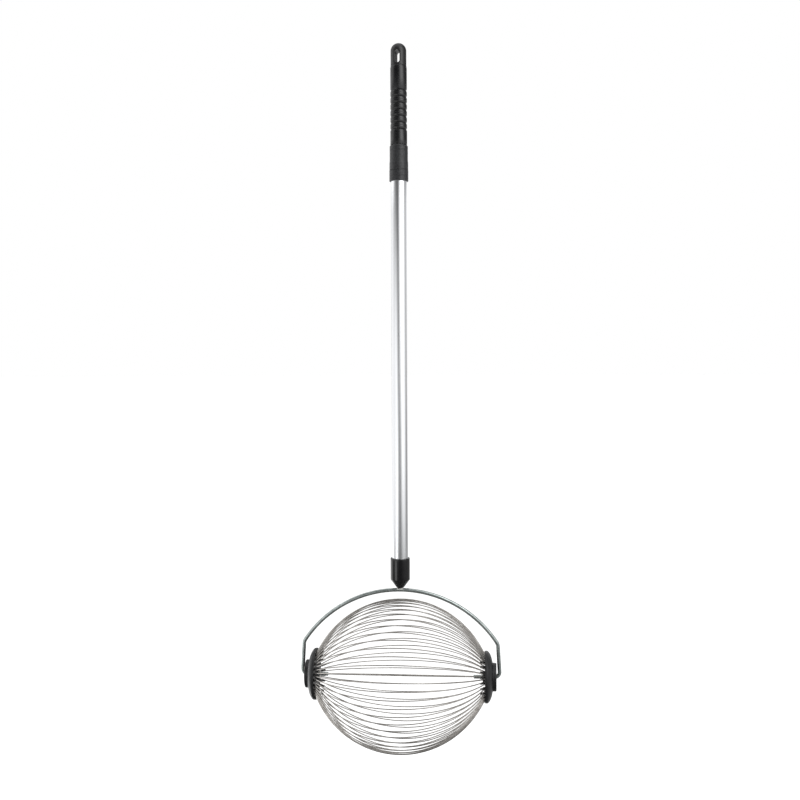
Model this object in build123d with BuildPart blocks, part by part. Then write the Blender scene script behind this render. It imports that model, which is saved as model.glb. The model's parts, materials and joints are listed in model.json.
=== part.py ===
from build123d import *
import math
import os

# Rolling gatherer for nuts, windfalls and balls: a wire cage that spins in a bent rod bail on a
# telescopic pole. The pole runs up +Z and the cage turns about an axle along X. The origin is on
# the ground straight under the middle of the cage. Millimetres.

# ---------------------------------------------------------------- driving dimensions
# Radial gaps of the fits
PRESSED = 0.01
SNUG = 0.02
RUNNING_CLEARANCE = 0.05

# Cage
CAGE_RADIUS = 120.0            # to the outside of the wires at the middle
WIRE_DIAMETER = 1.6
WIRE_COUNT = 58
WIRES_PER_GROUP = 10           # the wires are written in groups round the cage
CAGE_TURN = 0.8                # where the first wire stands past the top, in wire steps
WIRE_ROOT_RADIUS = 38.0        # where the wires enter the hubs
WIRE_BEND = 4.0                # bend radius at a wire's root
WIRE_HOLE_DIAMETER = 1.8
WIRE_TAIL = 3.2                # straight end held in the hub

# Hubs, measured outward along the axle from the middle of the cage
HUB_FACE = 135.0               # inner face of a comb plate
COMB_THICKNESS = 3.5
COMB_RADIUS = 39.2
FINGER_ROOT_RADIUS = 36.2      # the fingers slant outward from here
FINGER_TIP_RADIUS = 41.0
FINGER_LENGTH = 7.5            # along the axle
FINGER_DEPTH = 2.9
FINGER_WIDTH = 2.2
FINGER_ROUND = 0.5
WIRES_PER_SLOT = 2
COVER_RADIUS = 40.4
COVER_WALL = 2.2
COVER_EDGE = 134.6
COVER_SHOULDER = 138.4
BOSS_RADIUS = 22.0
BOSS_BASE = 146.8
BOSS_FACE = 152.8
BOSS_RECESS_RADIUS = 12.0
BUSH_RADIUS = 6.0
BUSH_FLANGE_RADIUS = 8.5
BUSH_FLANGE = 1.5
HUB_SCREW_COUNT = 3
HUB_SCREW_CIRCLE = 27.0
SCREW_RADIUS = 1.45
SCREW_HEAD_RADIUS = 2.9
SCREW_HEAD = 1.9
SCREW_LENGTH = 9.0
SCREW_POST_RADIUS = 3.2
SCREW_POST_HEIGHT = 6.2
RECESS_LENGTH = 3.0
RECESS_WIDTH = 0.7
RECESS_DEPTH = 1.1

# Bail
ROD_DIAMETER = 6.0
BAIL_TOP = 256.8               # centre of the rod above the cage
BAIL_ARC_RADIUS = 184.8
BAIL_CORNER_X = 155.2
BAIL_FOOT_X = 158.2
BAIL_CORNER_BEND = 14.0
BAIL_FOOT_BEND = 8.0
PIN_END_X = 116.4
PIN_CHAMFER = 0.8
PUSH_NUT_RADIUS = 6.6
PUSH_NUT_THICKNESS = 0.8
PUSH_NUT_TABS = 6
PUSH_NUT_FLANGE = 1.8          # width of its flat outer ring
PUSH_NUT_DISH = 1.2            # how far its middle is dished
PUSH_NUT_SLIT = 0.8

# Stud that joins the bail to the pole
STUD_RADIUS = 4.0
STUD_TOP = 284.0
WELD_RADIUS = 6.2
NUT_ACROSS_FLATS = 13.0
NUT_HEIGHT = 6.5
WASHER_RADIUS = 8.0
WASHER_THICKNESS = 1.6

# Pole
OUTER_TUBE_RADIUS = 12.7
OUTER_TUBE_WALL = 1.0
OUTER_TUBE_BOTTOM = 283.0
OUTER_TUBE_TOP = 949.0
INNER_TUBE_RADIUS = 11.0
INNER_TUBE_WALL = 1.2
INNER_TUBE_BOTTOM = 345.0
INNER_TUBE_TOP = 1094.0
BUSH_BORE = 5.5                # hole through the guide bush
SOCKET_RADIUS = 15.5
SOCKET_TIP_RADIUS = 6.4
SOCKET_BOTTOM = 261.5
SOCKET_SHOULDER = 273.6
SOCKET_TOP = 308.0
SOCKET_FLOOR = 272.0

# Twist lock
COLLAR_BOTTOM = 910.0
COLLAR_SEAM = 927.4
COLLAR_STEP = 940.7            # the collar is a little wider below this
COLLAR_GROOVE = 959.0
COLLAR_TOP = 967.2
COLLAR_BASE_RADIUS = 15.2
COLLAR_BAND_RADIUS = 15.0
COLLAR_RADIUS = 14.6
THREAD_RADIUS = 13.5
COLLAR_SLEEVE_TOP = 951.0
COLLET_TOP = 963.0
COLLET_SPLIT = 2.4
THREAD_PLAY = 0.15

# Grip and hanging cap
GRIP_BOTTOM = 967.7
GRIP_TOP = 1094.5
GRIP_RADIUS = 13.5
GRIP_NECK_RADIUS = 13.3
RIB_BOTTOM = 992.4
RIB_PITCH = 10.4
RIB_COUNT = 6
RIB_CREST_RADIUS = 13.5
RIB_VALLEY_RADIUS = 12.0
RIB_NOTCH_RADIUS = 13.3
CAP_RADIUS = 12.6
CAP_SPIGOT = 24.0
CAP_TOP = 1131.0
SLOT_WIDTH = 7.8
SLOT_HEIGHT = 21.2
SLOT_CENTRE = 1108.4
SLOT_ROUND = 1.3
GRIP_TURN = -8.0               # the handle is twisted this far round the pole

AXLE_HEIGHT = CAGE_RADIUS
AXLE = Axis((0, 0, AXLE_HEIGHT), (1, 0, 0))
# Looks along the axle: local x is +Y, local y is up, the normal is +X.
AXLE_PLANE = Plane(origin=(0, 0, AXLE_HEIGHT), x_dir=(0, 1, 0), z_dir=(1, 0, 0))
# Half section of the cage: local x runs along the axle, local y is the radius.
HUB_SECTION = Plane(origin=(0, 0, AXLE_HEIGHT), x_dir=(1, 0, 0), z_dir=(0, -1, 0))
# Half section of the pole: local x is the radius, local y the height.
POLE_SECTION = Plane.XZ

os.makedirs("parts", exist_ok=True)


def write(part, name):
    """Labels a finished piece and writes it as its own STEP file."""
    part.label = name
    export_step(part, f"parts/{name}.step")


# ---------------------------------------------------------------- handle
handle_plane = Plane.XZ.rotated((0, 0, GRIP_TURN))

with BuildPart() as hang_cap:
    spigot_radius = INNER_TUBE_RADIUS - INNER_TUBE_WALL - 0.1
    spigot_end = GRIP_TOP - CAP_SPIGOT
    with BuildSketch(POLE_SECTION):
        with BuildLine():
            shoulder = CAP_TOP - CAP_RADIUS
            Polyline((0, spigot_end), (spigot_radius - 1, spigot_end),
                     (spigot_radius, spigot_end + 2), (spigot_radius, GRIP_TOP),
                     (CAP_RADIUS, GRIP_TOP), (CAP_RADIUS, shoulder))
            CenterArc((0, shoulder), CAP_RADIUS, 0, 90)
            Line((0, CAP_TOP), (0, spigot_end))
        make_face()
    revolve(axis=Axis.Z)
    with BuildSketch(handle_plane):
        with Locations((0, SLOT_CENTRE)):
            SlotOverall(SLOT_HEIGHT, SLOT_WIDTH, rotation=90)
    extrude(amount=CAP_RADIUS + 5, both=True, mode=Mode.SUBTRACT)
    slot_rims = hang_cap.edges(Select.LAST).filter_by(GeomType.LINE, reverse=True).filter_by(
        lambda e: e.bounding_box().size.Z > 1 and abs((e @ 0.5).Y) > 5)
    fillet(slot_rims, SLOT_ROUND)
write(hang_cap.part, "hang_cap")

with BuildPart() as grip_sleeve:
    bore = INNER_TUBE_RADIUS + SNUG
    rib_top = RIB_BOTTOM + RIB_COUNT * RIB_PITCH
    with BuildSketch(POLE_SECTION):
        with BuildLine():
            Polyline((RIB_VALLEY_RADIUS, RIB_BOTTOM), (GRIP_RADIUS, RIB_BOTTOM - 2.2),
                     (GRIP_RADIUS, GRIP_BOTTOM + 1), (GRIP_RADIUS - 0.6, GRIP_BOTTOM),
                     (bore, GRIP_BOTTOM), (bore, GRIP_TOP), (CAP_RADIUS + 0.05, GRIP_TOP),
                     (GRIP_NECK_RADIUS, GRIP_TOP - 4), (GRIP_NECK_RADIUS, rib_top + 2.2),
                     (RIB_VALLEY_RADIUS, rib_top))
            # Each rib is two crests with a shallow notch between them.
            for rib in range(RIB_COUNT):
                low = RIB_BOTTOM + rib * RIB_PITCH
                middle, high = low + RIB_PITCH / 2, low + RIB_PITCH
                ThreePointArc((RIB_VALLEY_RADIUS, low), (RIB_CREST_RADIUS, low + RIB_PITCH * 0.3),
                              (RIB_NOTCH_RADIUS, middle))
                ThreePointArc((RIB_NOTCH_RADIUS, middle), (RIB_CREST_RADIUS, low + RIB_PITCH * 0.7),
                              (RIB_VALLEY_RADIUS, high))
        make_face()
    revolve(axis=Axis.Z)
write(grip_sleeve.part, "grip_sleeve")

with BuildPart() as inner_tube:
    with BuildSketch(Plane.XY.offset(INNER_TUBE_BOTTOM)):
        Circle(INNER_TUBE_RADIUS)
        Circle(INNER_TUBE_RADIUS - INNER_TUBE_WALL, mode=Mode.SUBTRACT)
    extrude(amount=INNER_TUBE_TOP - INNER_TUBE_BOTTOM)
write(inner_tube.part, "inner_tube")

# Guide bush on the inner tube's lower end: it centres the tube, and meets the collet at full
# extension so that the tubes can't come apart.
with BuildPart() as guide_bush:
    bush_flange = OUTER_TUBE_RADIUS - OUTER_TUBE_WALL - 0.15
    bush_spigot = INNER_TUBE_RADIUS - INNER_TUBE_WALL - 0.05
    with BuildSketch(POLE_SECTION):
        with BuildLine():
            Polyline((BUSH_BORE, INNER_TUBE_BOTTOM - 9), (bush_flange - 0.8, INNER_TUBE_BOTTOM - 9),
                     (bush_flange, INNER_TUBE_BOTTOM - 8), (bush_flange, INNER_TUBE_BOTTOM),
                     (bush_spigot, INNER_TUBE_BOTTOM), (bush_spigot, INNER_TUBE_BOTTOM + 18),
                     (bush_spigot - 1, INNER_TUBE_BOTTOM + 20),
                     (BUSH_BORE, INNER_TUBE_BOTTOM + 20), close=True)
        make_face()
    revolve(axis=Axis.Z)
write(guide_bush.part, "guide_bush")

# ---------------------------------------------------------------- twist lock
# The base is fixed to the outer tube's top end and carries the sleeve that the collar turns on.
with BuildPart() as collar_base:
    tube_seat = OUTER_TUBE_RADIUS + SNUG
    groove = COLLAR_BOTTOM + 8
    with BuildSketch(POLE_SECTION):
        with BuildLine():
            Polyline((tube_seat, COLLAR_BOTTOM), (COLLAR_BASE_RADIUS - 0.5, COLLAR_BOTTOM),
                     (COLLAR_BASE_RADIUS, COLLAR_BOTTOM + 0.5), (COLLAR_BASE_RADIUS, groove - 0.5),
                     (COLLAR_BASE_RADIUS - 0.35, groove), (COLLAR_BASE_RADIUS, groove + 0.5),
                     (COLLAR_BASE_RADIUS, COLLAR_SEAM - 0.4),
                     (COLLAR_BASE_RADIUS - 0.4, COLLAR_SEAM), (THREAD_RADIUS, COLLAR_SEAM),
                     (THREAD_RADIUS, COLLAR_SLEEVE_TOP - 0.6),
                     (THREAD_RADIUS - 0.6, COLLAR_SLEEVE_TOP),
                     (INNER_TUBE_RADIUS + 0.1, COLLAR_SLEEVE_TOP),
                     (INNER_TUBE_RADIUS + 0.1, OUTER_TUBE_TOP), (tube_seat, OUTER_TUBE_TOP),
                     close=True)
        make_face()
    revolve(axis=Axis.Z)
write(collar_base.part, "collar_base")

# Split wedge ring that the collar squeezes onto the inner tube.
with BuildPart() as collet:
    collet_bore = INNER_TUBE_RADIUS + 0.08
    with BuildSketch(POLE_SECTION):
        with BuildLine():
            Polyline((collet_bore, COLLAR_SLEEVE_TOP + 0.1),
                     (THREAD_RADIUS - 0.4, COLLAR_SLEEVE_TOP + 0.1),
                     (THREAD_RADIUS - 0.4, COLLAR_SLEEVE_TOP + 5),
                     (collet_bore + 1.0, COLLET_TOP), (collet_bore, COLLET_TOP), close=True)
        make_face()
    revolve(axis=Axis.Z)
    with BuildSketch(Plane.XY.offset(COLLAR_SLEEVE_TOP)):
        with Locations((INNER_TUBE_RADIUS + 2, 0)):
            Rectangle(8, COLLET_SPLIT)
    extrude(amount=COLLET_TOP - COLLAR_SLEEVE_TOP + 1, mode=Mode.SUBTRACT)
write(collet.part, "collet")

with BuildPart() as lock_collar:
    collar_bore = THREAD_RADIUS + THREAD_PLAY
    top_hole = INNER_TUBE_RADIUS + 0.3
    with BuildSketch(POLE_SECTION):
        with BuildLine():
            Polyline((collar_bore, COLLAR_SEAM + 0.3), (COLLAR_BAND_RADIUS - 0.3, COLLAR_SEAM + 0.3),
                     (COLLAR_BAND_RADIUS, COLLAR_SEAM + 0.6),
                     (COLLAR_BAND_RADIUS, COLLAR_STEP - 1.2), (COLLAR_RADIUS, COLLAR_STEP + 1.2),
                     (COLLAR_RADIUS, COLLAR_GROOVE - 0.5), (COLLAR_RADIUS - 0.3, COLLAR_GROOVE),
                     (COLLAR_RADIUS, COLLAR_GROOVE + 0.5),
                     (COLLAR_RADIUS, COLLAR_TOP - 1.4), (COLLAR_RADIUS - 0.7, COLLAR_TOP - 0.2),
                     (COLLAR_RADIUS - 1.2, COLLAR_TOP), (top_hole, COLLAR_TOP),
                     (top_hole, COLLET_TOP + 0.8), (collet_bore + 1.6, COLLET_TOP + 0.3),
                     (collar_bore, COLLAR_SLEEVE_TOP + 5), close=True)
        make_face()
    revolve(axis=Axis.Z)
write(lock_collar.part, "lock_collar")

# ---------------------------------------------------------------- lower pole
with BuildPart() as outer_tube:
    with BuildSketch(Plane.XY.offset(OUTER_TUBE_BOTTOM)):
        Circle(OUTER_TUBE_RADIUS)
        Circle(OUTER_TUBE_RADIUS - OUTER_TUBE_WALL, mode=Mode.SUBTRACT)
    extrude(amount=OUTER_TUBE_TOP - OUTER_TUBE_BOTTOM)
write(outer_tube.part, "outer_tube")

with BuildPart() as pole_socket:
    socket_bore = OUTER_TUBE_RADIUS + SNUG
    pocket = OUTER_TUBE_RADIUS - OUTER_TUBE_WALL - 1
    stud_hole = STUD_RADIUS + 0.1
    with BuildSketch(POLE_SECTION):
        with BuildLine():
            Polyline((stud_hole, SOCKET_BOTTOM), (SOCKET_TIP_RADIUS, SOCKET_BOTTOM),
                     (SOCKET_RADIUS, SOCKET_SHOULDER), (SOCKET_RADIUS, SOCKET_TOP - 0.7),
                     (SOCKET_RADIUS - 0.7, SOCKET_TOP), (socket_bore + 0.4, SOCKET_TOP),
                     (socket_bore, SOCKET_TOP - 0.4), (socket_bore, OUTER_TUBE_BOTTOM),
                     (pocket, OUTER_TUBE_BOTTOM), (pocket, SOCKET_FLOOR),
                     (stud_hole, SOCKET_FLOOR), close=True)
        make_face()
    revolve(axis=Axis.Z)
    shoulder_edge = pole_socket.edges().filter_by(GeomType.CIRCLE).filter_by(
        lambda e: abs(e.center().Z - SOCKET_SHOULDER) < 0.1 and e.radius > SOCKET_RADIUS - 0.1)
    fillet(shoulder_edge, 1.5)
write(pole_socket.part, "pole_socket")

# ---------------------------------------------------------------- bail
# One rod: an arc over the cage, two legs, and two ends turned in as the axle pins.
arc_centre = BAIL_TOP - BAIL_ARC_RADIUS
corner_angle = math.degrees(math.acos(BAIL_CORNER_X / BAIL_ARC_RADIUS))
corner_height = arc_centre + BAIL_ARC_RADIUS * math.sin(math.radians(corner_angle))

with BuildPart() as bail:
    with BuildLine(Plane.XZ) as rod_path:
        left_leg = Polyline((-PIN_END_X, AXLE_HEIGHT), (-BAIL_FOOT_X, AXLE_HEIGHT),
                            (-BAIL_CORNER_X, corner_height))
        CenterArc((0, arc_centre), BAIL_ARC_RADIUS, 180 - corner_angle, 2 * corner_angle - 180)
        right_leg = Polyline((BAIL_CORNER_X, corner_height), (BAIL_FOOT_X, AXLE_HEIGHT),
                             (PIN_END_X, AXLE_HEIGHT))
        corners = rod_path.vertices().filter_by(
            lambda v: abs(v.Z - corner_height) < 0.1)
        fillet(corners, BAIL_CORNER_BEND)
        feet = rod_path.vertices().filter_by(
            lambda v: abs(abs(v.X) - BAIL_FOOT_X) < 0.1)
        fillet(feet, BAIL_FOOT_BEND)
    with BuildSketch(Plane(origin=rod_path.line @ 0, z_dir=rod_path.line % 0)):
        Circle(ROD_DIAMETER / 2)
    sweep(path=rod_path.line)
    pin_ends = bail.edges().filter_by(GeomType.CIRCLE).filter_by(
        lambda e: abs(abs(e.arc_center.X) - PIN_END_X) < 0.1)
    chamfer(pin_ends, PIN_CHAMFER)
write(bail.part, "bail")

# Threaded stud, welded on top of the rod.
with BuildPart() as bail_stud:
    rod_top = BAIL_TOP + ROD_DIAMETER / 2
    with BuildSketch(POLE_SECTION):
        with BuildLine():
            Polyline((0, BAIL_TOP), (WELD_RADIUS, BAIL_TOP), (WELD_RADIUS, BAIL_TOP + 1.6))
            ThreePointArc((WELD_RADIUS, BAIL_TOP + 1.6), (WELD_RADIUS - 0.9, rod_top + 1.0),
                          (STUD_RADIUS, SOCKET_BOTTOM - 0.3))
            Polyline((STUD_RADIUS, SOCKET_BOTTOM - 0.3), (STUD_RADIUS, STUD_TOP - 0.8),
                     (STUD_RADIUS - 0.8, STUD_TOP), (0, STUD_TOP), (0, BAIL_TOP))
        make_face()
    revolve(axis=Axis.Z)
    add(bail.part, mode=Mode.SUBTRACT)
    loose = bail_stud.solids().sort_by(Axis.Z)[:-1]
    if loose:
        add(loose, mode=Mode.SUBTRACT)
write(bail_stud.part, "bail_stud")

with BuildPart() as stud_washer:
    with BuildSketch(Plane.XY.offset(SOCKET_FLOOR)):
        Circle(WASHER_RADIUS)
        Circle(STUD_RADIUS + 0.2, mode=Mode.SUBTRACT)
    extrude(amount=WASHER_THICKNESS)
write(stud_washer.part, "stud_washer")

with BuildPart() as stud_nut:
    with BuildSketch(Plane.XY.offset(SOCKET_FLOOR + WASHER_THICKNESS)):
        RegularPolygon(NUT_ACROSS_FLATS / 2, 6, major_radius=False)
        Circle(STUD_RADIUS + SNUG, mode=Mode.SUBTRACT)
    extrude(amount=NUT_HEIGHT)
write(stud_nut.part, "stud_nut")

# ---------------------------------------------------------------- hubs, right-hand side
wire_step = 360 / WIRE_COUNT
first_wire = CAGE_TURN * wire_step
slot_count = WIRE_COUNT // WIRES_PER_SLOT
comb_back = HUB_FACE + COMB_THICKNESS

# One finger, slanted outward. It starts inside the plate so that the two make one solid.
finger_run = Vector(-FINGER_LENGTH, 0, FINGER_TIP_RADIUS - FINGER_ROOT_RADIUS)
finger_root = Vector(HUB_FACE, 0, AXLE_HEIGHT + FINGER_ROOT_RADIUS) - finger_run.normalized()
with BuildPart() as finger:
    with BuildSketch(Plane(origin=finger_root, x_dir=(0, 1, 0), z_dir=finger_run)):
        RectangleRounded(FINGER_WIDTH, FINGER_DEPTH, FINGER_ROUND)
    extrude(amount=finger_run.length + 1)

with BuildPart() as comb_plate:
    with BuildSketch(HUB_SECTION):
        with BuildLine():
            Polyline((HUB_FACE, COMB_RADIUS), (HUB_FACE, BUSH_RADIUS + 3.4),
                     (HUB_FACE - 4, BUSH_RADIUS + 3), (HUB_FACE - 4, BUSH_RADIUS + PRESSED),
                     (comb_back, BUSH_RADIUS + PRESSED), (comb_back, COMB_RADIUS), close=True)
        make_face()
    revolve(axis=AXLE)
    # Fingers that keep the wires apart, one for every second wire.
    for slot in range(slot_count):
        add(finger.part.rotate(AXLE, first_wire + (slot * WIRES_PER_SLOT - 0.5) * wire_step))
    # A wire that stands past the top leans towards -Y, which is -x in the axle plane.
    with BuildSketch(AXLE_PLANE.offset(HUB_FACE - 1)):
        with PolarLocations(WIRE_ROOT_RADIUS, WIRE_COUNT, start_angle=90 + first_wire):
            Circle(WIRE_HOLE_DIAMETER / 2)
    extrude(amount=COMB_THICKNESS + 2, mode=Mode.SUBTRACT)
    with BuildSketch(AXLE_PLANE.offset(HUB_FACE - 1)):
        with PolarLocations(HUB_SCREW_CIRCLE, HUB_SCREW_COUNT, start_angle=90):
            Circle(SCREW_RADIUS + 0.15)
    extrude(amount=COMB_THICKNESS + 2, mode=Mode.SUBTRACT)

with BuildPart() as hub_cover:
    dome_mid = (COVER_SHOULDER + 5.2, 34.0)
    inner_mid = (COVER_SHOULDER + 3.4, 32.4)
    with BuildSketch(HUB_SECTION):
        with BuildLine():
            Polyline((COVER_SHOULDER, COVER_RADIUS), (COVER_EDGE, COVER_RADIUS),
                     (COVER_EDGE, COMB_RADIUS + 0.05), (comb_back, COMB_RADIUS + 0.05),
                     (comb_back, COMB_RADIUS - 4.0))
            ThreePointArc((comb_back, COMB_RADIUS - 4.0), inner_mid,
                          (BOSS_BASE - COVER_WALL, BOSS_RADIUS - 2.4))
            Polyline((BOSS_BASE - COVER_WALL, BOSS_RADIUS - 2.4),
                     (BOSS_FACE - COVER_WALL, BOSS_RADIUS - 2.4),
                     (BOSS_FACE - COVER_WALL, BOSS_RECESS_RADIUS + COVER_WALL),
                     (BOSS_BASE - 3, BOSS_RECESS_RADIUS + COVER_WALL),
                     (BOSS_BASE - 3, BUSH_RADIUS + PRESSED), (BOSS_BASE, BUSH_RADIUS + PRESSED),
                     (BOSS_BASE, BOSS_RECESS_RADIUS), (BOSS_FACE, BOSS_RECESS_RADIUS),
                     (BOSS_FACE, BOSS_RADIUS - 1), (BOSS_FACE - 1, BOSS_RADIUS),
                     (BOSS_BASE, BOSS_RADIUS))
            ThreePointArc((BOSS_BASE, BOSS_RADIUS), dome_mid, (COVER_SHOULDER, COVER_RADIUS))
        make_face()
    revolve(axis=AXLE)
    # Posts that the hub screws bite into.
    with BuildSketch(AXLE_PLANE.offset(comb_back)):
        with PolarLocations(HUB_SCREW_CIRCLE, HUB_SCREW_COUNT, start_angle=90):
            Circle(SCREW_POST_RADIUS)
    extrude(amount=SCREW_POST_HEIGHT)
    with BuildSketch(AXLE_PLANE.offset(comb_back)):
        with PolarLocations(HUB_SCREW_CIRCLE, HUB_SCREW_COUNT, start_angle=90):
            Circle(SCREW_RADIUS + PRESSED)
    extrude(amount=SCREW_LENGTH - COMB_THICKNESS + 0.2, mode=Mode.SUBTRACT)

with BuildPart() as hub_bush:
    with BuildSketch(HUB_SECTION):
        with BuildLine():
            bush_bore = ROD_DIAMETER / 2 + RUNNING_CLEARANCE
            Polyline((HUB_FACE - 4.4, bush_bore), (HUB_FACE - 4.4, BUSH_RADIUS),
                     (BOSS_BASE, BUSH_RADIUS), (BOSS_BASE, BUSH_FLANGE_RADIUS),
                     (BOSS_BASE + BUSH_FLANGE, BUSH_FLANGE_RADIUS),
                     (BOSS_BASE + BUSH_FLANGE, bush_bore), close=True)
        make_face()
    revolve(axis=AXLE)

with BuildPart() as hub_screws:
    with BuildSketch(AXLE_PLANE.offset(HUB_FACE - SCREW_HEAD)):
        with PolarLocations(HUB_SCREW_CIRCLE, HUB_SCREW_COUNT, start_angle=90):
            Circle(SCREW_HEAD_RADIUS)
    extrude(amount=SCREW_HEAD)
    fillet(hub_screws.faces().filter_by(Axis.X).group_by(Axis.X)[0].edges(), 0.9)
    with BuildSketch(AXLE_PLANE.offset(HUB_FACE)):
        with PolarLocations(HUB_SCREW_CIRCLE, HUB_SCREW_COUNT, start_angle=90):
            Circle(SCREW_RADIUS)
    extrude(amount=SCREW_LENGTH)
    # Cross recess
    with BuildSketch(AXLE_PLANE.offset(HUB_FACE - SCREW_HEAD)):
        with PolarLocations(HUB_SCREW_CIRCLE, HUB_SCREW_COUNT, start_angle=90):
            Rectangle(RECESS_LENGTH, RECESS_WIDTH)
            Rectangle(RECESS_WIDTH, RECESS_LENGTH)
    extrude(amount=RECESS_DEPTH, mode=Mode.SUBTRACT)

# Spring push-on ring that keeps the hub on its pin.
with BuildPart() as push_nut:
    ring_out = HUB_FACE - 4.4 - 0.4
    with BuildSketch(HUB_SECTION):
        with BuildLine():
            Polyline((ring_out, PUSH_NUT_RADIUS), (ring_out, PUSH_NUT_RADIUS - PUSH_NUT_FLANGE),
                     (ring_out - PUSH_NUT_DISH, ROD_DIAMETER / 2 + SNUG),
                     (ring_out - PUSH_NUT_DISH - PUSH_NUT_THICKNESS, ROD_DIAMETER / 2 + SNUG),
                     (ring_out - PUSH_NUT_THICKNESS, PUSH_NUT_RADIUS - PUSH_NUT_FLANGE),
                     (ring_out - PUSH_NUT_THICKNESS, PUSH_NUT_RADIUS), close=True)
        make_face()
    revolve(axis=AXLE)
    with BuildSketch(AXLE_PLANE.offset(ring_out - 3)):
        with PolarLocations(ROD_DIAMETER / 2 + 0.7, PUSH_NUT_TABS):
            Rectangle(PUSH_NUT_FLANGE, PUSH_NUT_SLIT)
    extrude(amount=4, mode=Mode.SUBTRACT)

for name, right in {
    "comb_plate": comb_plate, "hub_cover": hub_cover, "hub_bush": hub_bush,
    "hub_screws": hub_screws, "push_nut": push_nut,
}.items():
    write(right.part, f"{name}_right")
    with BuildPart() as left:
        mirror(right.part, about=Plane.YZ)
    write(left.part, f"{name}_left")

# ---------------------------------------------------------------- cage wires
# A wire leaves the hub along the axle, bends out, and bows over to the other hub in one arc.
wire_rise = CAGE_RADIUS - WIRE_DIAMETER / 2 - WIRE_ROOT_RADIUS
bow_angle = 2 * math.degrees(math.atan(wire_rise / HUB_FACE))
bow_radius = HUB_FACE / math.sin(math.radians(bow_angle)) - WIRE_BEND

with BuildPart() as wire:
    with BuildLine(HUB_SECTION) as wire_path:
        tail_in = Line((-HUB_FACE - WIRE_TAIL, WIRE_ROOT_RADIUS), (-HUB_FACE, WIRE_ROOT_RADIUS))
        bend_in = JernArc(tail_in @ 1, (1, 0), WIRE_BEND, bow_angle)
        bow = JernArc(bend_in @ 1, bend_in % 1, bow_radius, -2 * bow_angle)
        bend_out = JernArc(bow @ 1, bow % 1, WIRE_BEND, bow_angle)
        Line(bend_out @ 1, (HUB_FACE + WIRE_TAIL, WIRE_ROOT_RADIUS))
    with BuildSketch(Plane(origin=wire_path.line @ 0, z_dir=wire_path.line % 0)):
        Circle(WIRE_DIAMETER / 2)
    sweep(path=wire_path.line)

turns = [first_wire + wire_step * k for k in range(WIRE_COUNT)]
for group, start in enumerate(range(0, WIRE_COUNT, WIRES_PER_GROUP)):
    wires = Compound([wire.part.solid().rotate(AXLE, turn)
                      for turn in turns[start:start + WIRES_PER_GROUP]])
    write(wires, f"cage_wires_{group + 1}")
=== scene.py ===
import json
import math

import bmesh
import bpy
from mathutils import Matrix, Vector, noise


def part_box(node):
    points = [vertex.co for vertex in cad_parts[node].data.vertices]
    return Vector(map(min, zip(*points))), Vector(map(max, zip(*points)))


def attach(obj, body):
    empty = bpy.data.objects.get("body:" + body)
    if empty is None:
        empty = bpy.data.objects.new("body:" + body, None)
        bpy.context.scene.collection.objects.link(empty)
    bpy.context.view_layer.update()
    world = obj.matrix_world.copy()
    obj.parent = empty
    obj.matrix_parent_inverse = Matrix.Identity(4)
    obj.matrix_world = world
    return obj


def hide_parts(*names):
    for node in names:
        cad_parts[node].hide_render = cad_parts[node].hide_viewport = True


# Looks of a rolling nut gatherer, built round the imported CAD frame. Metres; +Z runs up the pole
# and the cage's axle lies along X.

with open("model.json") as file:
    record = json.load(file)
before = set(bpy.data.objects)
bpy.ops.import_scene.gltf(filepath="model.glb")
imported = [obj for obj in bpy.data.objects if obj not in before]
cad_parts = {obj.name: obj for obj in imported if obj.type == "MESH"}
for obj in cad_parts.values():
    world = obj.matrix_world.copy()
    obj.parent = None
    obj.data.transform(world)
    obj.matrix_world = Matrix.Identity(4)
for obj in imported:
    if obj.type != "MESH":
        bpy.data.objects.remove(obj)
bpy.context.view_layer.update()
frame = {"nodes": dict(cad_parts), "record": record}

MM = 0.001
SHARP = math.radians(32)                    # edges sharper than this keep their crease


# ------------------------------------------------------------------ places from the frame
def span(node, axis):
    """Lowest and highest coordinate of a CAD node along one axis."""
    low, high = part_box(node)
    return low[axis], high[axis]


def radius(node):
    """Radius of a round CAD node that stands on the pole's line."""
    low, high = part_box(node)
    return (high.x - low.x) / 2


AXLE_HEIGHT = sum(span("hub_cover_right", 2)) / 2
TUBE_RADIUS = radius("inner_tube")


# ------------------------------------------------------------------ mesh helpers
def new_object(name, bm, materials):
    """A mesh object from a bmesh, smooth shaded but creased along its sharp edges."""
    bmesh.ops.recalc_face_normals(bm, faces=bm.faces)
    for face in bm.faces:
        face.smooth = True
    for edge in bm.edges:
        edge.smooth = not (len(edge.link_faces) == 2 and edge.calc_face_angle(0) > SHARP)
    mesh = bpy.data.meshes.new(name)
    bm.to_mesh(mesh)
    bm.free()
    obj = bpy.data.objects.new(name, mesh)
    bpy.context.scene.collection.objects.link(obj)
    for material in materials:
        mesh.materials.append(material)
    return obj


def rounded(outline, steps=5):
    """Outline points (a, b, round): each corner with a radius becomes a short arc."""
    points = []
    count = len(outline)
    for i, (a, b, *rest) in enumerate(outline):
        bend = rest[0] if rest else 0
        here = Vector((a, b))
        if not bend or i in (0, count - 1):
            points.append(here)
            continue
        before = Vector(outline[i - 1][:2]) - here
        after = Vector(outline[i + 1][:2]) - here
        angle = before.angle(after)
        cut = min(bend / math.tan(angle / 2), before.length * 0.48, after.length * 0.48)
        bend = cut * math.tan(angle / 2)
        start, end = here + before.normalized() * cut, here + after.normalized() * cut
        centre = here + (before.normalized() + after.normalized()).normalized() * (
            bend / math.sin(angle / 2))
        for k in range(steps + 1):
            blend = (start - centre).lerp(end - centre, k / steps)
            if blend.length > 1e-9:
                points.append(centre + blend.normalized() * bend)
    return points


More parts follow.
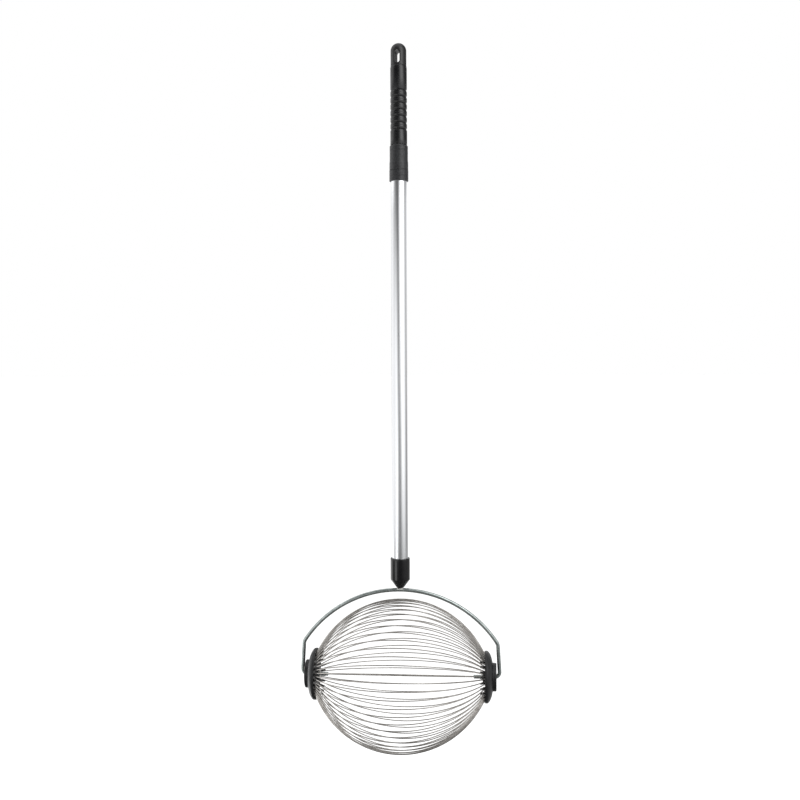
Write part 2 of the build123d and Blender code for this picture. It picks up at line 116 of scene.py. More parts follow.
def lathe(name, outline, materials, ring, side=None, relief=None):
    """Turns a closed outline of (radius, place) points about the pole, or about the axle.

    ring is the number of points round. side is None on the pole, and 1 or -1 for a piece on the
    axle's right or left end.
    relief(radius, angle, place) returns a small radial offset.
    """
    bm = bmesh.new()
    rows = []
    for r, place in outline:
        row = []
        for k in range(ring if r else 1):
            angle = 2 * math.pi * k / ring
            grown = r + (relief(r, angle, place) if relief else 0)
            x, y = grown * math.cos(angle), grown * math.sin(angle)
            row.append(bm.verts.new((side * place, x, AXLE_HEIGHT + y) if side else (x, y, place)))
        rows.append(row)
    for lower, upper in zip(rows, rows[1:] + rows[:1]):
        for k in range(ring):
            corners = [lower[k % len(lower)], lower[(k + 1) % ring % len(lower)],
                       upper[(k + 1) % ring % len(upper)], upper[k % len(upper)]]
            corners = list(dict.fromkeys(corners))
            if len(corners) > 2:
                bm.faces.new(corners)
    return new_object(name, bm, materials)


def dense(outline, step):
    """The outline with more points, so that no stretch is longer than step."""
    points = []
    for here, after in zip(outline, outline[1:] + outline[:1]):
        here, after = Vector(here), Vector(after)
        parts = max(1, math.ceil((after - here).length / step))
        points += [here.lerp(after, k / parts) for k in range(parts)]
    return points


def curve(start, middle, end, steps=14):
    """Points of a smooth bow from start to end that passes through middle."""
    start, middle, end = Vector(start), Vector(middle), Vector(end)
    pull = middle * 2 - (start + end) / 2
    return [start.lerp(pull, t).lerp(pull.lerp(end, t), t)
            for t in (k / steps for k in range(steps + 1))]


def remoulded(node, name, materials, voxel, passes):
    """A copy of a CAD node in even fine faces, with its edges rounded as a moulding's are."""
    mesh = frame["nodes"][node].data.copy()
    mesh.name = name
    obj = bpy.data.objects.new(name, mesh)
    bpy.context.scene.collection.objects.link(obj)
    mesh.materials.clear()
    for material in materials:
        mesh.materials.append(material)
    remesh = obj.modifiers.new("remesh", "REMESH")
    remesh.mode = "VOXEL"
    remesh.voxel_size = voxel
    remesh.use_smooth_shade = True
    smooth = obj.modifiers.new("smooth", "SMOOTH")
    smooth.factor = 0.5
    smooth.iterations = passes
    evaluated = obj.evaluated_get(bpy.context.evaluated_depsgraph_get())
    obj.data = bpy.data.meshes.new_from_object(evaluated)
    obj.modifiers.clear()
    return obj


# ------------------------------------------------------------------ materials
class Shader:
    """A Principled material with helpers for the procedural nodes that the surfaces share."""

    def __init__(self, name, color, roughness, metallic=0.0, **extra):
        self.material = bpy.data.materials.new(name)
        self.material.use_nodes = True
        self.tree = self.material.node_tree
        self.bsdf = self.tree.nodes["Principled BSDF"]
        self.bsdf.inputs["Base Color"].default_value = (*color, 1)
        self.bsdf.inputs["Roughness"].default_value = roughness
        self.bsdf.inputs["Metallic"].default_value = metallic
        for socket, value in extra.items():
            self.bsdf.inputs[socket.replace("_", " ")].default_value = value
        self.material.diffuse_color = (*color, 1)
        self.coordinate = self.tree.nodes.new("ShaderNodeTexCoord").outputs["Object"]
        self.height = None

    def stretched(self, scale):
        """Object coordinates scaled by axis. A scale under 1 draws a texture out along its axis."""
        mapping = self.tree.nodes.new("ShaderNodeMapping")
        mapping.inputs["Scale"].default_value = scale
        self.tree.links.new(self.coordinate, mapping.inputs["Vector"])
        return mapping.outputs["Vector"]

    def noise(self, scale, detail, roughness=0.5, stretch=(1, 1, 1), distortion=0.0):
        """Noise whose largest features are about 1/scale metres across."""
        node = self.tree.nodes.new("ShaderNodeTexNoise")
        node.inputs["Scale"].default_value = scale
        node.inputs["Detail"].default_value = detail
        node.inputs["Roughness"].default_value = roughness
        node.inputs["Distortion"].default_value = distortion
        self.tree.links.new(self.stretched(stretch), node.inputs["Vector"])
        return node.outputs["Fac"]

    def cells(self, scale):
        """Distance to the middle of rounded cells about 1/scale metres across."""
        node = self.tree.nodes.new("ShaderNodeTexVoronoi")
        node.inputs["Scale"].default_value = scale
        self.tree.links.new(self.stretched((1, 1, 1)), node.inputs["Vector"])
        return node.outputs["Distance"]

    def ramp(self, value, *stops):
        """Maps a value to colours: stops are (position, (r, g, b))."""
        node = self.tree.nodes.new("ShaderNodeValToRGB")
        elements = node.color_ramp.elements
        while len(elements) < len(stops):
            elements.new(0.5)
        for element, (position, color) in zip(elements, stops):
            element.position = position
            element.color = (*color, 1)
        self.tree.links.new(value, node.inputs["Fac"])
        return node.outputs["Color"]

    def vary_color(self, value, *stops):
        """Base colour that follows a value along the stops."""
        self.tree.links.new(self.ramp(value, *stops), self.bsdf.inputs["Base Color"])

    def vary_roughness(self, value, low, high):
        """Roughness from low to high, over the middle range of a noise."""
        node = self.tree.nodes.new("ShaderNodeMapRange")
        node.inputs["From Min"].default_value = 0.3
        node.inputs["From Max"].default_value = 0.7
        node.inputs["To Min"].default_value = low
        node.inputs["To Max"].default_value = high
        self.tree.links.new(value, node.inputs["Value"])
        self.tree.links.new(node.outputs["Result"], self.bsdf.inputs["Roughness"])

    def bump(self, value, depth, strength):
        """Adds relief: depth is the height in metres between the value's 0 and 1."""
        node = self.tree.nodes.new("ShaderNodeBump")
        node.inputs["Distance"].default_value = depth
        node.inputs["Strength"].default_value = strength
        self.tree.links.new(value, node.inputs["Height"])
        if self.height is not None:
            self.tree.links.new(self.height, node.inputs["Normal"])
        self.height = node.outputs["Normal"]
        self.tree.links.new(self.height, self.bsdf.inputs["Normal"])


def grip_rubber():
    """Soft-touch black rubber with a fine eggshell grain and a faint random mottle in its tone."""
    s = Shader("grip_rubber", (0.005, 0.005, 0.0055), 0.28)
    s.vary_color(s.noise(90, 5, 0.6), (0.3, (0.0035, 0.0035, 0.004)), (0.75, (0.007, 0.007, 0.0078)))
    s.vary_roughness(s.noise(300, 4, 0.6), 0.22, 0.33)
    s.bump(s.noise(3200, 2), 0.04 * MM, 0.35)
    s.bump(s.noise(220, 3), 0.05 * MM, 0.3)
    return s.material


def cap_plastic():
    """Satin polypropylene with faint flow marks along the moulding."""
    s = Shader("cap_plastic", (0.006, 0.006, 0.0065), 0.36)
    s.vary_roughness(s.noise(180, 4, 0.6, stretch=(1, 1, 0.25)), 0.32, 0.46)
    s.vary_color(s.noise(60, 4), (0.3, (0.005, 0.005, 0.0055)), (0.8, (0.011, 0.011, 0.0115)))
    s.bump(s.noise(900, 3), 0.02 * MM, 0.35)
    return s.material


def collar_plastic():
    """Moulded collar with a leathery, mottled grain of paler pits."""
    s = Shader("collar_plastic", (0.012, 0.012, 0.013), 0.42)
    mottle = s.noise(520, 6, 0.7, distortion=0.5)
    s.vary_color(mottle, (0.34, (0.005, 0.005, 0.006)), (0.52, (0.012, 0.0125, 0.014)),
                 (0.7, (0.034, 0.035, 0.038)))
    s.vary_roughness(s.noise(420, 4, 0.7), 0.34, 0.52)
    s.bump(s.cells(900), 0.05 * MM, 0.4)
    s.bump(mottle, 0.06 * MM, 0.4)
    return s.material


def socket_plastic():
    """Glossy black plastic, slightly wavy from the mould."""
    s = Shader("socket_plastic", (0.003, 0.003, 0.0035), 0.16)
    s.vary_roughness(s.noise(240, 4, 0.6), 0.10, 0.2)
    s.bump(s.noise(130, 2), 0.05 * MM, 0.25)
    s.bump(s.noise(1800, 3, 0.6), 0.008 * MM, 0.3)
    return s.material


def hub_plastic():
    """Satin black hub plastic with spark-eroded grain and scuffs from rolling over the ground."""
    s = Shader("hub_plastic", (0.006, 0.006, 0.0065), 0.4)
    scuff = s.noise(140, 7, 0.72, distortion=0.8)
    s.vary_color(scuff, (0.4, (0.004, 0.004, 0.005)), (0.66, (0.009, 0.009, 0.01)),
                 (0.82, (0.024, 0.0235, 0.022)))
    s.vary_roughness(scuff, 0.33, 0.52)
    s.bump(s.noise(2600, 3), 0.03 * MM, 0.5)
    s.bump(scuff, 0.04 * MM, 0.3)
    return s.material


def anodised_tube():
    """Satin anodised aluminium with drawing lines along the tube and a few smudges."""
    s = Shader("anodised_tube", (0.86, 0.87, 0.89), 0.2, 1.0)
    lines = s.noise(1500, 4, 0.7, stretch=(1, 1, 0.006))
    smudge = s.noise(22, 5, 0.6, stretch=(1, 1, 0.35))
    s.vary_color(smudge, (0.3, (0.83, 0.84, 0.865)), (0.75, (0.89, 0.9, 0.915)))
    s.vary_roughness(smudge, 0.15, 0.23)
    s.bump(lines, 0.012 * MM, 0.5)
    return s.material


def galvanised_rod():
    """Bright zinc-plated rod: a greenish grey metal with soft cloudy plating."""
    s = Shader("galvanised_rod", (0.46, 0.505, 0.495), 0.26, 1.0)
    cloud = s.noise(160, 6, 0.65)
    s.vary_color(cloud, (0.3, (0.32, 0.355, 0.345)), (0.55, (0.46, 0.505, 0.495)),
                 (0.78, (0.62, 0.67, 0.665)))
    s.vary_roughness(s.noise(420, 5, 0.65), 0.2, 0.36)
    s.bump(s.noise(700, 4, 0.6), 0.03 * MM, 0.35)
    return s.material


def spring_wire():
    """Drawn spring wire, warm grey with a thin brown film in places."""
    s = Shader("spring_wire", (0.5, 0.48, 0.455), 0.34, 1.0)
    film = s.noise(70, 6, 0.7)
    s.vary_color(film, (0.35, (0.32, 0.3, 0.28)), (0.55, (0.5, 0.48, 0.455)),
                 (0.75, (0.66, 0.645, 0.62)))
    s.vary_roughness(s.noise(500, 4, 0.6), 0.26, 0.42)
    s.bump(s.noise(1600, 3), 0.01 * MM, 0.4)
    return s.material


def zinc_hardware():
    """Zinc-plated steel hardware with cloudy plating."""
    s = Shader("zinc_hardware", (0.55, 0.55, 0.53), 0.32, 1.0)
    cloud = s.noise(500, 5, 0.65)
    s.vary_color(cloud, (0.3, (0.4, 0.4, 0.38)), (0.7, (0.64, 0.64, 0.62)))
    s.vary_roughness(cloud, 0.24, 0.42)
    s.bump(s.noise(1800, 4), 0.02 * MM, 0.4)
    return s.material


def black_screw():
    """Black zinc screws, with paler patches of wear scattered at random."""
    s = Shader("black_screw", (0.03, 0.03, 0.033), 0.34, 1.0)
    s.vary_color(s.noise(900, 5, 0.7), (0.4, (0.02, 0.02, 0.023)), (0.8, (0.1, 0.1, 0.1)))
    s.vary_roughness(s.noise(1500, 3), 0.26, 0.44)
    return s.material


def bush_plastic():
    """Natural acetal, milky with a faint grain."""
    s = Shader("bush_plastic", (0.62, 0.61, 0.56), 0.38, Subsurface_Weight=0.15)
    s.vary_color(s.noise(400, 4), (0.3, (0.55, 0.54, 0.49)), (0.7, (0.66, 0.65, 0.6)))
    s.bump(s.noise(2200, 3), 0.012 * MM, 0.4)
    return s.material


def guide_plastic():
    """Charcoal moulded plastic of the parts inside the pole."""
    s = Shader("guide_plastic", (0.04, 0.04, 0.044), 0.45)
    s.vary_color(s.noise(300, 4), (0.3, (0.03, 0.03, 0.034)), (0.7, (0.055, 0.055, 0.06)))
    s.bump(s.noise(1800, 3), 0.02 * MM, 0.4)
    return s.material


MATERIALS = {make.__name__: make() for make in (
    grip_rubber, cap_plastic, collar_plastic, socket_plastic, hub_plastic, anodised_tube,
    galvanised_rod, spring_wire, zinc_hardware, black_screw, bush_plastic, guide_plastic)}

# Every CAD node takes the finish of its slot, whether it stays or is replaced further down.
SLOT_OF = {part["node"]: part["material_slot"] for part in frame["record"]["subparts"]}
for node, obj in frame["nodes"].items():
    obj.data.materials.clear()
    obj.data.materials.append(MATERIALS[SLOT_OF[node]])

BODY_OF = {node: body for body, nodes in frame["record"]["behaviour"]["bodies"].items()
           for node in nodes}


def stand_in(piece, node):
    """The piece stands for a CAD node: it rides on its body, and the CAD node itself is hidden."""
    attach(piece, BODY_OF[node])
    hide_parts(node)


# ------------------------------------------------------------------ handle
CAP_VOXEL = 0.3 * MM
CAP_PASSES = 4                              # smoothing passes, which round the cap's edges
GRIP_SKIN = 0.05 * MM                       # room left inside the CAD grip for the flash line
GRIP_SEAM = math.radians(6)                 # the flash line's turn from square
SEAM_WIDTH = 0.02                           # half width of the flash line, in radians
PRESS_GAP = 0.02 * MM                       # between a piece's bore and the tube in it
GRIP_END = 1.0 * MM                         # chamfer at the grip's lower end
RIB_START = 24.7 * MM                       # from the grip's lower end
RIB_PITCH = 10.4 * MM
RIB_COUNT = 6
RIB_DEPTH = 1.5 * MM
RIB_NOTCH = 0.3 * MM                        # dip along the middle of each rib
RIB_FLARE = 2.2 * MM                        # run from the plain grip down into the end valleys
NECK_STEP = 0.2 * MM                        # the neck above the ribs is this much slimmer
NECK_TAPER = 4.0 * MM                       # it narrows to the cap over this height
RIB_STEPS = 22


def make_cap():
    """The cap keeps its CAD shape, with softer edges."""
    cap = remoulded("hang_cap", "cap_shell", [MATERIALS["cap_plastic"]], CAP_VOXEL, CAP_PASSES)
    stand_in(cap, "hang_cap")


def rib_height(t):
    """Height of a rib across its width, 0 to 1: a full lobe with a dip along its middle."""
    lobe = math.sin(math.pi * t) ** 0.55
    dip = math.exp(-((t - 0.5) / 0.1) ** 2)
    return RIB_DEPTH * lobe - RIB_NOTCH * dip


def make_grip():
    """The ribbed grip: plain, six double ribs, then a slimmer neck that meets the cap."""
    low, high = span("grip_sleeve", 2)
    outside = radius("grip_sleeve") - GRIP_SKIN
    bore = TUBE_RADIUS + PRESS_GAP
    first, last = low + RIB_START, low + RIB_START + RIB_COUNT * RIB_PITCH
    neck = outside - NECK_STEP
    outline = [(bore, low), (outside - 0.6 * MM, low), (outside - 0.15 * MM, low + GRIP_END * 0.4),
               (outside, low + GRIP_END), (outside, first - RIB_FLARE),
               (outside - 0.5 * MM, first - RIB_FLARE * 0.5)]
    for rib in range(RIB_COUNT):
        for k in range(RIB_STEPS):
            t = k / RIB_STEPS
            outline.append((outside - RIB_DEPTH + rib_height(t), first + (rib + t) * RIB_PITCH))
    outline += [(outside - RIB_DEPTH, last), (neck - 0.5 * MM, last + RIB_FLARE * 0.5),
                (neck, last + RIB_FLARE), (neck, high - NECK_TAPER),
                (radius("hang_cap") + 0.1 * MM, high - 0.3 * MM),
                (radius("hang_cap") - 0.15 * MM, high), (bore, high)]

    def seam(r, angle, place):
        """A thin flash line down each side, left where the mould's halves met."""
        if r <= bore:
            return 0
        return GRIP_SKIN * math.exp(-(math.cos(angle + GRIP_SEAM) / SEAM_WIDTH) ** 2)
    grip = lathe("grip_rubber_sleeve", outline, [MATERIALS["grip_rubber"]], ring=288, relief=seam)
    stand_in(grip, "grip_sleeve")


# ------------------------------------------------------------------ twist lock
COLLAR_GRAIN = 0.13 * MM                    # depth of the leathery relief
GRAIN_SCALE = 620                           # its clumps are about 1/620 m across
EDGE_CLEAR = 1.6 * MM                       # the relief fades out this close to an edge
COLLAR_WALL = 1.35 * MM                     # the collar's wall round its thread
COLLAR_STEP = 13.0 * MM                     # the shoulder, from the collar's lower end
COLLAR_GROOVE = 8.2 * MM                    # the fine groove, from its upper end
COLLAR_RING = 224


def leather(bore, low, high):
    """Relief for an outer face: clumps of pits that fade out towards its two ends."""
    def relief(r, angle, place):
        if r < bore + 0.3 * MM:
            return 0
        at = Vector((r * math.cos(angle), r * math.sin(angle), place)) * GRAIN_SCALE
        grain = noise.fractal(at, 0.6, 2.1, 4, noise_basis="PERLIN_ORIGINAL")
        fade = min(1, max(0, min(place - low, high - place) / EDGE_CLEAR))
        return -COLLAR_GRAIN * fade * min(1, max(0, 0.45 + grain * 0.7))
    return relief


def make_lock_collar():
    """The turning collar: a wide band, a slimmer one with a groove, and a closed top."""
    low, high = span("lock_collar", 2)
    band = radius("lock_collar")
    slim = band - 0.4 * MM
    bore = band - COLLAR_WALL
    step, groove = low + COLLAR_STEP, high - COLLAR_GROOVE
    outline = rounded([
        (bore, low), (band, low, 0.5 * MM), (band, step - 1.2 * MM, 1.0 * MM),
        (slim, step + 1.2 * MM, 1.0 * MM), (slim, groove - 0.5 * MM, 0.3 * MM),
        (slim - 0.35 * MM, groove, 0.2 * MM), (slim, groove + 0.5 * MM, 0.3 * MM),
        (slim, high - 1.4 * MM, 0.6 * MM), (slim - 1.2 * MM, high, 0.5 * MM),
        (TUBE_RADIUS + 0.3 * MM, high), (TUBE_RADIUS + 0.3 * MM, high - 3.2 * MM),
        (bore, high - 11.0 * MM)])
    collar = lathe("twist_collar", dense(outline, 0.5 * MM), [MATERIALS["collar_plastic"]],
                   ring=COLLAR_RING, relief=leather(bore, low, high))
    stand_in(collar, "lock_collar")


def make_collar_base():
    """The fixed ring under the collar, with the sleeve that the collar turns on."""
    low, high = span("collar_base", 2)
    ring = radius("collar_base")
    seam = span("lock_collar", 2)[0] - 0.3 * MM
    groove = low + 8.0 * MM
    sleeve = radius("lock_collar") - 1.5 * MM
    tube = radius("outer_tube") + PRESS_GAP
    lip = span("outer_tube", 2)[1]
    outline = rounded([
        (tube, low), (ring, low, 0.6 * MM), (ring, groove - 0.5 * MM, 0.3 * MM),
        (ring - 0.4 * MM, groove, 0.2 * MM), (ring, groove + 0.5 * MM, 0.3 * MM),
        (ring, seam, 0.5 * MM), (sleeve, seam), (sleeve, high - 0.6 * MM, 0.3 * MM),
        (sleeve - 0.6 * MM, high), (TUBE_RADIUS + 0.1 * MM, high), (TUBE_RADIUS + 0.1 * MM, lip),
        (tube, lip)])
    base = lathe("collar_lower_ring", dense(outline, 0.5 * MM), [MATERIALS["collar_plastic"]],
                 ring=COLLAR_RING, relief=leather(sleeve, low, seam))
    stand_in(base, "collar_base")


# ------------------------------------------------------------------ lower pole
TUBE_WALL = 1.0 * MM


def make_outer_tube():
    """The outer tube, with its cut ends broken by a small round."""
    low, high = span("outer_tube", 2)
    outside = radius("outer_tube")
    inside = outside - TUBE_WALL
    outline = rounded([(inside, low), (outside, low, 0.3 * MM), (outside, high, 0.3 * MM),
                       (inside, high)])
    tube = lathe("lower_tube", dense(outline, 12 * MM), [MATERIALS["anodised_tube"]], ring=256)
    stand_in(tube, "outer_tube")


def make_socket():
    """The socket: a cup for the tube over a pocket for the nut, with a conical nose."""
    low, high = span("pole_socket", 2)
    outside = radius("pole_socket")
    shoulder = low + 12.1 * MM
    floor, stop = low + 10.5 * MM, span("outer_tube", 2)[0]
    seat, pocket, hole = radius("outer_tube") + PRESS_GAP, radius("outer_tube") - 2 * MM, 4.1 * MM
    outline = rounded([
        (hole, low), (6.4 * MM, low, 0.5 * MM), (outside, shoulder, 2.2 * MM),
        (outside, high, 0.8 * MM), (seat, high, 0.3 * MM), (seat, stop), (pocket, stop),
        (pocket, floor), (hole, floor)])
    socket = lathe("nose_socket", dense(outline, 3 * MM), [MATERIALS["socket_plastic"]], ring=192)
    stand_in(socket, "pole_socket")


THREAD_PITCH = 1.25 * MM
THREAD_DEPTH = 0.35 * MM
WELD_LUMPS = 0.7 * MM                       # height of the weld bead's lumps
LUMP_SCALE = 420


def make_stud():
    """The welded stud: a lumpy bead on the rod, then rolled threads up into the socket."""
    low, high = span("bail_stud", 2)
    rod_top = span("bail", 2)[1]
    stud = 4.0 * MM
    outline = [(0, rod_top - 2 * MM), (6.2 * MM, rod_top - 1.8 * MM), (6.1 * MM, rod_top - 0.9 * MM),
               (5.6 * MM, rod_top), (4.7 * MM, rod_top + 0.7 * MM), (stud, rod_top + 1.2 * MM)]
    turns = int((high - rod_top - 2 * MM) / THREAD_PITCH)
    for turn in range(turns):
        base = rod_top + 1.4 * MM + turn * THREAD_PITCH
        outline += [(stud - THREAD_DEPTH, base), (stud, base + THREAD_PITCH * 0.45),
                    (stud, base + THREAD_PITCH * 0.6)]
    outline += [(stud - 0.8 * MM, high), (0, high)]

    def lumps(r, angle, place):
        """Lumps on the weld bead alone."""
        if r < 1 * MM or place > rod_top + 0.9 * MM:
            return 0
        at = Vector((r * math.cos(angle), r * math.sin(angle), place)) * LUMP_SCALE
        return WELD_LUMPS * noise.noise(at, noise_basis="PERLIN_ORIGINAL")
    welded = lathe("welded_stud", outline, [MATERIALS["zinc_hardware"]], ring=96, relief=lumps)
    stand_in(welded, "bail_stud")


# ------------------------------------------------------------------ hubs
COVER_WALL = 2.2 * MM


def make_hub_cover(side, name):
    """Domed outer cover with a raised boss round the bearing."""
    node = f"hub_cover_{name}"
    low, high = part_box(node)
    inner, face = sorted((abs(low.x), abs(high.x)))
    rim = (high.z - low.z) / 2
    shoulder, back, boss_base = inner + 3.8 * MM, inner + 3.9 * MM, face - 6.0 * MM
    boss, recess, bush = 22.0 * MM, 12.0 * MM, 6.01 * MM
    plate = rim - 1.15 * MM
    dome = curve((boss, boss_base), (34.0 * MM, shoulder + 5.2 * MM), (rim, shoulder))
    lining = curve((plate - 4 * MM, back), (32.4 * MM, shoulder + 3.4 * MM),
                   (boss - 2.4 * MM, boss_base - COVER_WALL))
    outline = rounded(
        [(plate, back), *[tuple(point) for point in lining],
         (boss - 2.4 * MM, face - COVER_WALL), (recess + COVER_WALL, face - COVER_WALL),
         (recess + COVER_WALL, boss_base - 3 * MM), (bush, boss_base - 3 * MM),
         (bush, boss_base), (recess, boss_base, 0.4 * MM), (recess, face, 0.8 * MM),
         (boss, face, 1.6 * MM), (boss, boss_base, 1.2 * MM),
         *[tuple(point) for point in dome[1:-1]], (rim, shoulder, 1.6 * MM),
         (rim, inner, 0.5 * MM), (plate, inner)])
    cover = lathe(f"hub_shell_{name}", dense(outline, 1.5 * MM), [MATERIALS["hub_plastic"]],
                  ring=224, side=side)
    stand_in(cover, node)


make_cap()
make_grip()
make_lock_collar()
make_collar_base()
make_outer_tube()
make_socket()
make_stud()
for side, name in ((1, "right"), (-1, "left")):
    make_hub_cover(side, name)


# ------------------------------------------------------------------ stage, light and camera
CAMERA_AZIMUTH = math.radians(4.5)
CAMERA_DISTANCE = 1.70
CAMERA_HEIGHT = 0.6184
CAMERA_ROLL = math.radians(-0.197)
FOCAL_LENGTH = 47.81
SENSOR = 36.0
SHIFT = (0.00063, -0.04533)


def make_camera():
    """A level camera at the viewing angle, a little to the right of square."""
    data = bpy.data.cameras.new("camera")
    data.sensor_width = SENSOR
    data.lens = FOCAL_LENGTH
    data.shift_x, data.shift_y = SHIFT
    data.clip_end = 200
    camera = bpy.data.objects.new("camera", data)
    bpy.context.scene.collection.objects.link(camera)
    place_at = Vector((math.sin(CAMERA_AZIMUTH), -math.cos(CAMERA_AZIMUTH), 0)) * CAMERA_DISTANCE
    place_at.z = CAMERA_HEIGHT
    camera.matrix_world = (Matrix.Translation(place_at) @ Matrix.Rotation(CAMERA_AZIMUTH, 4, "Z")
                           @ Matrix.Rotation(math.radians(90), 4, "X")
                           @ Matrix.Rotation(CAMERA_ROLL, 4, "Z"))
    bpy.context.scene.camera = camera


FLOOR_GLOW = 0.12
FLOOR_RADIUS = 100
FLOOR_LEVEL = -0.5                          # the tool hangs, and its pole slides down 0.45 m


def make_floor():
    """Plain pale floor. Its faint glow keeps it as white as the backdrop out to the horizon."""
    shader = Shader("floor_white", (0.93, 0.93, 0.93), 0.9, Specular_IOR_Level=0.0,
                    Emission_Color=(1, 1, 1, 1), Emission_Strength=FLOOR_GLOW)
    bpy.ops.mesh.primitive_circle_add(vertices=96, radius=FLOOR_RADIUS, fill_type="NGON",
                                      location=(0, 0, FLOOR_LEVEL))
    floor = bpy.context.object
    floor.name = "floor"
    floor.data.materials.append(shader.material)
    floor.visible_glossy = False


# Brightness of the studio round the object, by height on the card and by angle in degrees from
# the camera. At every height there is a softbox on each side of the dark gap where the camera
# stands, and white behind. At the pole's heights the back has a narrow dark gap of its own.
CARD_RADIUS = 1.3
CARD_LOW, CARD_TOP = -1.2, 3.2              # it goes on below the floor, which no reflection sees
STUDIO = (
    (-0.3, ((-150, 1.8), (-125, 2.4), (-104, 1.8), (-88, 0.5), (-60, 0.45), (-40, 0.3), (0, 0.25),
            (60, 0.4), (120, 0.45), (160, 0.7))),
    (0.04, ((-134, 1.6), (-104, 1.4), (-94, 0.25), (-68, 0.25), (-60, 2.4), (-44, 2.4),
            (-36, 0.25), (-15, 0.1), (20, 0.12), (60, 0.4), (120, 0.4), (160, 0.5))),
    (0.15, ((-113, 1.06), (-90, 0.97), (-70, 0.97), (-53, 1.15), (-34, 1.35), (-22, 0.72),
            (-9, 0.28), (9, 0.26), (22, 0.46), (38, 0.78), (72, 0.85), (90, 0.5), (106, 0.28),
            (122, 0.28), (148, 0.6))),
    (0.37, ((-113, 1.08), (-90, 1.02), (-70, 1.08), (-53, 1.2), (-34, 1.4), (-22, 0.8),
            (-9, 0.33), (9, 0.31), (22, 0.72), (36, 1.35), (72, 1.2), (90, 0.65), (106, 0.34),
            (122, 0.34), (148, 0.72))),
    (0.69, ((-113, 1.06), (-90, 1.02), (-70, 0.98), (-53, 1.2), (-37, 1.0), (-22, 0.42),
            (-9, 0.26), (6, 0.8), (20, 1.35), (38, 1.35), (72, 1.2), (90, 0.68), (112, 0.42),
            (148, 0.96))),
    (1.08, ((-113, 0.98), (-90, 0.7), (-70, 0.42), (-50, 0.3), (-37, 0.16), (-22, 0.13),
            (-10, 0.2), (4, 1.1), (30, 1.35), (56, 1.35), (72, 1.1), (90, 0.6), (118, 0.64),
            (148, 1.1))),
    (1.22, ((-130, 1.5), (-92, 2.2), (-78, 1.2), (-62, 0.2), (-40, 0.05), (-4, 0.05), (10, 0.3),
            (26, 3.4), (46, 4.6), (64, 2.8), (78, 0.3), (96, 0.05), (140, 0.05), (160, 0.4))),
    (1.46, ((-130, 0.7), (-92, 1.3), (-76, 0.9), (-62, 0.12), (-40, 0.03), (-4, 0.03), (10, 0.3),
            (26, 3.0), (46, 3.6), (64, 1.8), (78, 0.3), (96, 0.2), (140, 0.2), (160, 0.4))),
)
BACK_LEFT, BACK_RIGHT = ((-180, 1.1),), ((180, 1.1),)
POLE_ROWS = (0.3, 1.1)                      # the heights that have the gap behind
GAP_LEFT = ((-180, 0.45), (-174, 0.22), (-160, 0.22), (-152, 1.1))
GAP_RIGHT = ((170, 1.1), (180, 0.45))
FACTOR, COLOR_A, COLOR_B, MIXED = 0, 6, 7, 2        # sockets of a Mix node that mixes colours


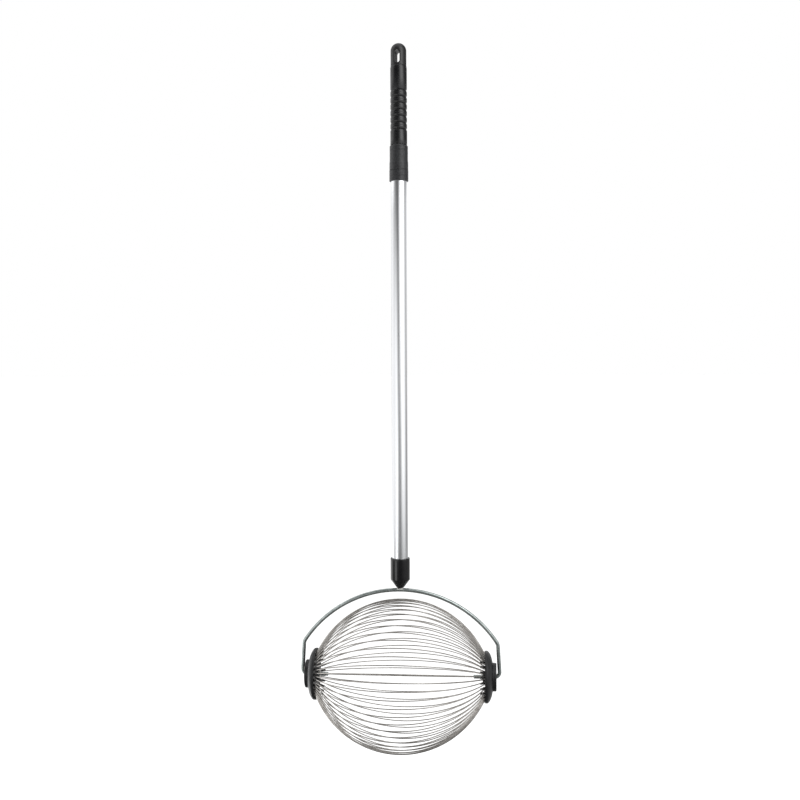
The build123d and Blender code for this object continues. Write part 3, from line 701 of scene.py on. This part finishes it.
def make_studio_card():
    """A round wall of light that only reflections see. The backdrop stays plain white."""
    material = bpy.data.materials.new("studio_card")
    material.use_nodes = True
    tree = material.node_tree
    tree.nodes.clear()
    link = tree.links.new
    split = tree.nodes.new("ShaderNodeSeparateXYZ")
    link(tree.nodes.new("ShaderNodeTexCoord").outputs["Object"], split.inputs[0])
    angle = tree.nodes.new("ShaderNodeMath")
    angle.operation = "ARCTAN2"
    link(split.outputs["X"], angle.inputs[0])
    flip = tree.nodes.new("ShaderNodeMath")
    flip.operation = "MULTIPLY"
    flip.inputs[1].default_value = -1
    link(split.outputs["Y"], flip.inputs[0])
    link(flip.outputs[0], angle.inputs[1])
    turn = tree.nodes.new("ShaderNodeMapRange")
    turn.inputs["From Min"].default_value = -math.pi
    turn.inputs["From Max"].default_value = math.pi
    link(angle.outputs[0], turn.inputs["Value"])
    peak = max(value for _, stops in STUDIO for _, value in stops)
    color = below = None
    for height, around in STUDIO:
        stops = BACK_LEFT + around + BACK_RIGHT
        if POLE_ROWS[0] < height < POLE_ROWS[1]:
            stops = GAP_LEFT + around + GAP_RIGHT
        ramp = tree.nodes.new("ShaderNodeValToRGB")
        elements = ramp.color_ramp.elements
        while len(elements) < len(stops):
            elements.new(0.5)
        for element, (degrees, value) in zip(elements, stops):
            element.position = degrees / 360 + 0.5
            element.color = (value / peak,) * 3 + (1,)
        link(turn.outputs["Result"], ramp.inputs["Fac"])
        if color is None:
            color, below = ramp.outputs["Color"], height
            continue
        rise = tree.nodes.new("ShaderNodeMapRange")
        rise.inputs["From Min"].default_value = below
        rise.inputs["From Max"].default_value = height
        link(split.outputs["Z"], rise.inputs["Value"])
        mix = tree.nodes.new("ShaderNodeMix")
        mix.data_type = "RGBA"
        link(rise.outputs["Result"], mix.inputs[FACTOR])
        link(color, mix.inputs[COLOR_A])
        link(ramp.outputs["Color"], mix.inputs[COLOR_B])
        color, below = mix.outputs[MIXED], height
    glow = tree.nodes.new("ShaderNodeEmission")
    glow.inputs["Strength"].default_value = peak
    link(color, glow.inputs["Color"])
    out = tree.nodes.new("ShaderNodeOutputMaterial")
    link(glow.outputs[0], out.inputs["Surface"])

    bpy.ops.mesh.primitive_cylinder_add(vertices=180, radius=CARD_RADIUS,
                                        depth=CARD_TOP - CARD_LOW, end_fill_type="NOTHING",
                                        location=(0, 0, (CARD_TOP + CARD_LOW) / 2))
    card = bpy.context.object
    card.name = "studio_card"
    card.data.transform(card.matrix_world)
    card.matrix_world = Matrix.Rotation(CAMERA_AZIMUTH, 4, "Z")
    card.data.materials.append(material)
    card.visible_camera = False
    card.visible_diffuse = False
    card.visible_shadow = False
    card.visible_transmission = False


GROUND_REFLECTION = (0.13, 0.135, 0.13)     # what the undersides mirror, below the horizon
HORIZON = (-0.15, -0.02)                    # the world goes from dark to white between these
VECTOR, FROM_MIN, FROM_MAX, TO_MIN, TO_MAX = range(6, 11)   # sockets of a vector Map Range node


def make_world():
    """White all round, but dark below the horizon, where only reflections can see it."""
    world = bpy.data.worlds.new("studio")
    world.use_nodes = True
    tree = world.node_tree
    split = tree.nodes.new("ShaderNodeSeparateXYZ")
    tree.links.new(tree.nodes.new("ShaderNodeTexCoord").outputs["Generated"], split.inputs[0])
    ramp = tree.nodes.new("ShaderNodeMapRange")
    ramp.data_type = "FLOAT_VECTOR"
    ramp.inputs[FROM_MIN].default_value = (HORIZON[0],) * 3
    ramp.inputs[FROM_MAX].default_value = (HORIZON[1],) * 3
    ramp.inputs[TO_MIN].default_value = GROUND_REFLECTION
    ramp.inputs[TO_MAX].default_value = (1, 1, 1)
    tree.links.new(split.outputs["Z"], ramp.inputs[VECTOR])
    tree.links.new(ramp.outputs[1], tree.nodes["Background"].inputs["Color"])
    bpy.context.scene.world = world


LAMPS = (("key", (1.6, -2.2, 2.9), 1.6, 26), ("fill", (-2.4, -1.6, 1.4), 1.8, 16),
         ("top", (0, 0.4, 3.4), 2.4, 26))       # name, place, width in metres, watts
LAMP_AIM = Vector((0, 0, 0.5))


def make_light():
    """Three soft lamps for the diffuse light, which no reflection sees."""
    for name, at, size, power in LAMPS:
        data = bpy.data.lights.new(name, "AREA")
        data.shape = "DISK"
        data.size = size
        data.energy = power
        lamp = bpy.data.objects.new(name, data)
        lamp.location = at
        lamp.rotation_euler = (LAMP_AIM - Vector(at)).to_track_quat("-Z", "Y").to_euler()
        lamp.visible_glossy = False
        bpy.context.scene.collection.objects.link(lamp)
    bpy.context.scene.view_settings.view_transform = "Standard"


make_camera()
make_floor()
make_studio_card()
make_world()
make_light()
